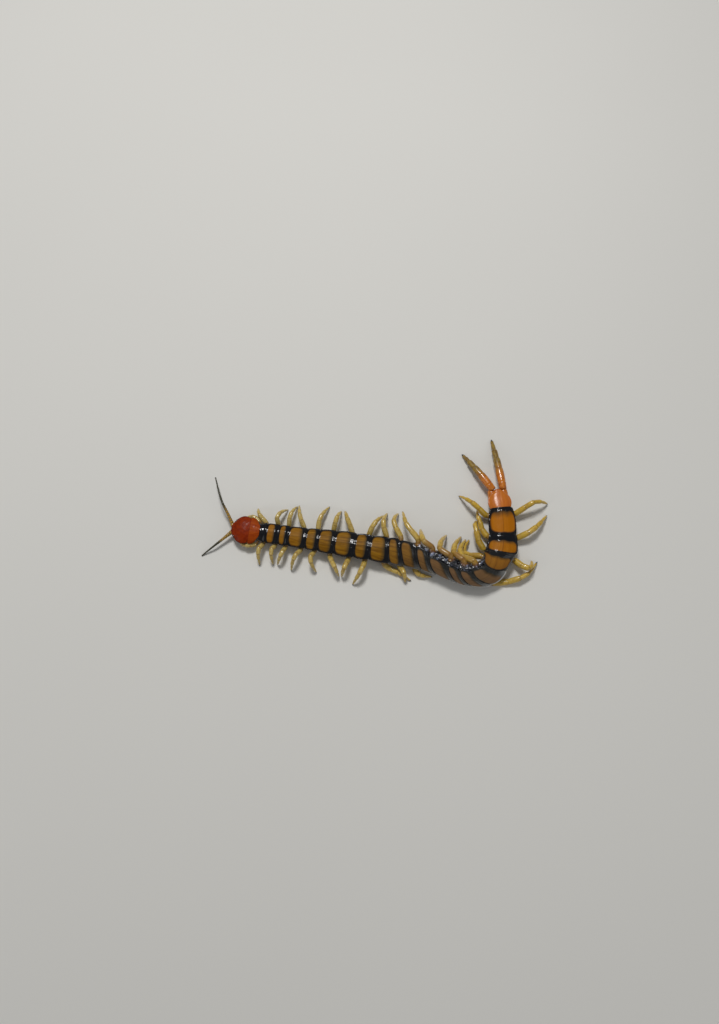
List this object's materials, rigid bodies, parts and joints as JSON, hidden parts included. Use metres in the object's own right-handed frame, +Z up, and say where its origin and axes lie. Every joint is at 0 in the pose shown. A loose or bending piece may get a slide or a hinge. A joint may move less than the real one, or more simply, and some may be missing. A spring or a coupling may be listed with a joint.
{
  "type": "giant centipede",
  "caption": "Life-size still model of a banded giant centipede: flat plated body bent into a hook, paired walking legs, long feelers, thick last legs.",
  "frame": {"origin": "on the floor, under the middle of the model's box", "axes": "+Z up; the head points to -X, the rear of the body turns towards +Y"},
  "size_m": [0.1294, 0.0574, 0.0118],
  "materials": {
    "head_shell": "glossy red-orange horny shell",
    "back_shell": "glossy ochre-orange back plates with black rear bands, dark soft sides",
    "leg_skin": "golden-yellow leg shell, dark at the claws",
    "last_leg_skin": "orange at the base, olive towards the tip",
    "feeler_skin": "golden at the base, dark olive and finely haired beyond"
  },
  "bodies": {
    "root": {"head": "head_shell", "antenna_left": "feeler_skin", "antenna_right": "feeler_skin", "forcipule_base": "head_shell", "forcipule_left": "head_shell", "forcipule_right": "head_shell", "trunk_1": "back_shell", "trunk_2": "back_shell", "trunk_3": "back_shell", "trunk_4": "back_shell", "trunk_5": "back_shell", "trunk_6": "back_shell", "trunk_7": "back_shell", "leg_left_01": "leg_skin", "leg_left_02": "leg_skin", "leg_left_03": "leg_skin", "leg_left_04": "leg_skin", "leg_left_05": "leg_skin", "leg_left_06": "leg_skin", "leg_left_07": "leg_skin", "leg_left_08": "leg_skin", "leg_left_09": "leg_skin", "leg_left_10": "leg_skin", "leg_left_11": "leg_skin", "leg_left_12": "leg_skin", "leg_left_13": "leg_skin", "leg_left_14": "leg_skin", "leg_left_15": "leg_skin", "leg_left_16": "leg_skin", "leg_left_17": "leg_skin", "leg_left_18": "leg_skin", "leg_left_19": "leg_skin", "leg_left_20": "leg_skin", "leg_right_01": "leg_skin", "leg_right_02": "leg_skin", "leg_right_03": "leg_skin", "leg_right_04": "leg_skin", "leg_right_05": "leg_skin", "leg_right_06": "leg_skin", "leg_right_07": "leg_skin", "leg_right_08": "leg_skin", "leg_right_09": "leg_skin", "leg_right_10": "leg_skin", "leg_right_11": "leg_skin", "leg_right_12": "leg_skin", "leg_right_13": "leg_skin", "leg_right_14": "leg_skin", "leg_right_15": "leg_skin", "leg_right_16": "leg_skin", "leg_right_17": "leg_skin", "leg_right_18": "leg_skin", "leg_right_19": "leg_skin", "leg_right_20": "leg_skin", "ultimate_leg_left": "last_leg_skin", "ultimate_leg_right": "last_leg_skin"}
  },
  "joints": []
}
